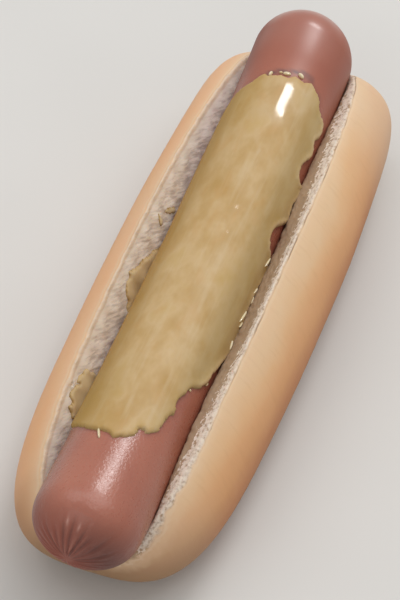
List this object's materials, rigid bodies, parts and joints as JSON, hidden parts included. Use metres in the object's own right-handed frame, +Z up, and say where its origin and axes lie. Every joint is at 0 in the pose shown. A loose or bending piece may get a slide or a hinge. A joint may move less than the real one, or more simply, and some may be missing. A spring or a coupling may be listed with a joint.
{
  "type": "hot dog",
  "caption": "Hot dog: a frankfurter in a soft bun cut open along its top, with a layer of mustard over the sausage.",
  "frame": {"origin": "on the surface that the bun rests on, under the middle of the hot dog's bounding box", "axes": "+Y along the sausage from its gathered end to its plain end, +Z up, +X to the right as seen from the gathered end"},
  "size_m": [0.0514, 0.1612, 0.0405],
  "materials": {
    "bun": "soft baked crust, pale at the lips and browner low on the sides, with a pale torn crumb inside the cut",
    "sausage": "smooth moist skin with a soft sheen, puckered at one end",
    "mustard": "wet, dull yellow, slightly mottled"
  },
  "bodies": {
    "root": {"bun": "bun", "sausage": "sausage", "mustard": "mustard"}
  },
  "joints": []
}
